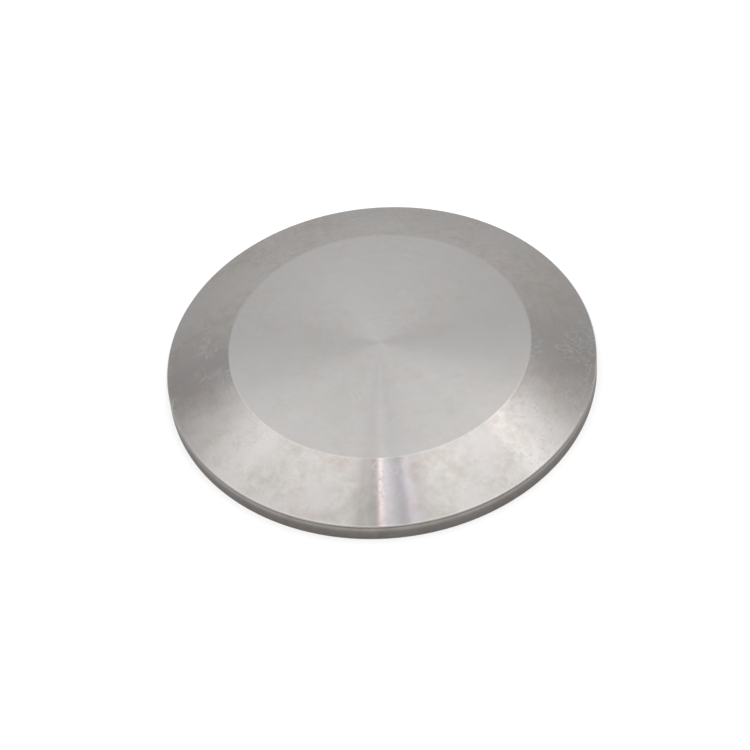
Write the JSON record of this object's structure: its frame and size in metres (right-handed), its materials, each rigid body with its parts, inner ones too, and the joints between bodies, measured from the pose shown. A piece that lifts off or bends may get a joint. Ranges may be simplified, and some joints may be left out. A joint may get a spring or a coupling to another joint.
{
  "type": "sanitary clamp end cap",
  "caption": "Solid round end cap for a sanitary clamp joint, with a sloping clamp flange, a flat blank back and a grooved sealing face.",
  "frame": {"origin": "on the cap's axis, in the plane of the lip that it lies on, which is the lower edge of the rim on the gasket side", "axes": "+Z along the cap's axis, out of the blank back; the sealing face looks down -Z. X and Y are any two square directions across the disc"},
  "size_m": [0.064, 0.064, 0.0063],
  "materials": {
    "turned_stainless": "lathe-turned stainless steel with a satin sheen and fine rings round its axis"
  },
  "bodies": {
    "root": {"end_cap": "turned_stainless"}
  },
  "joints": []
}
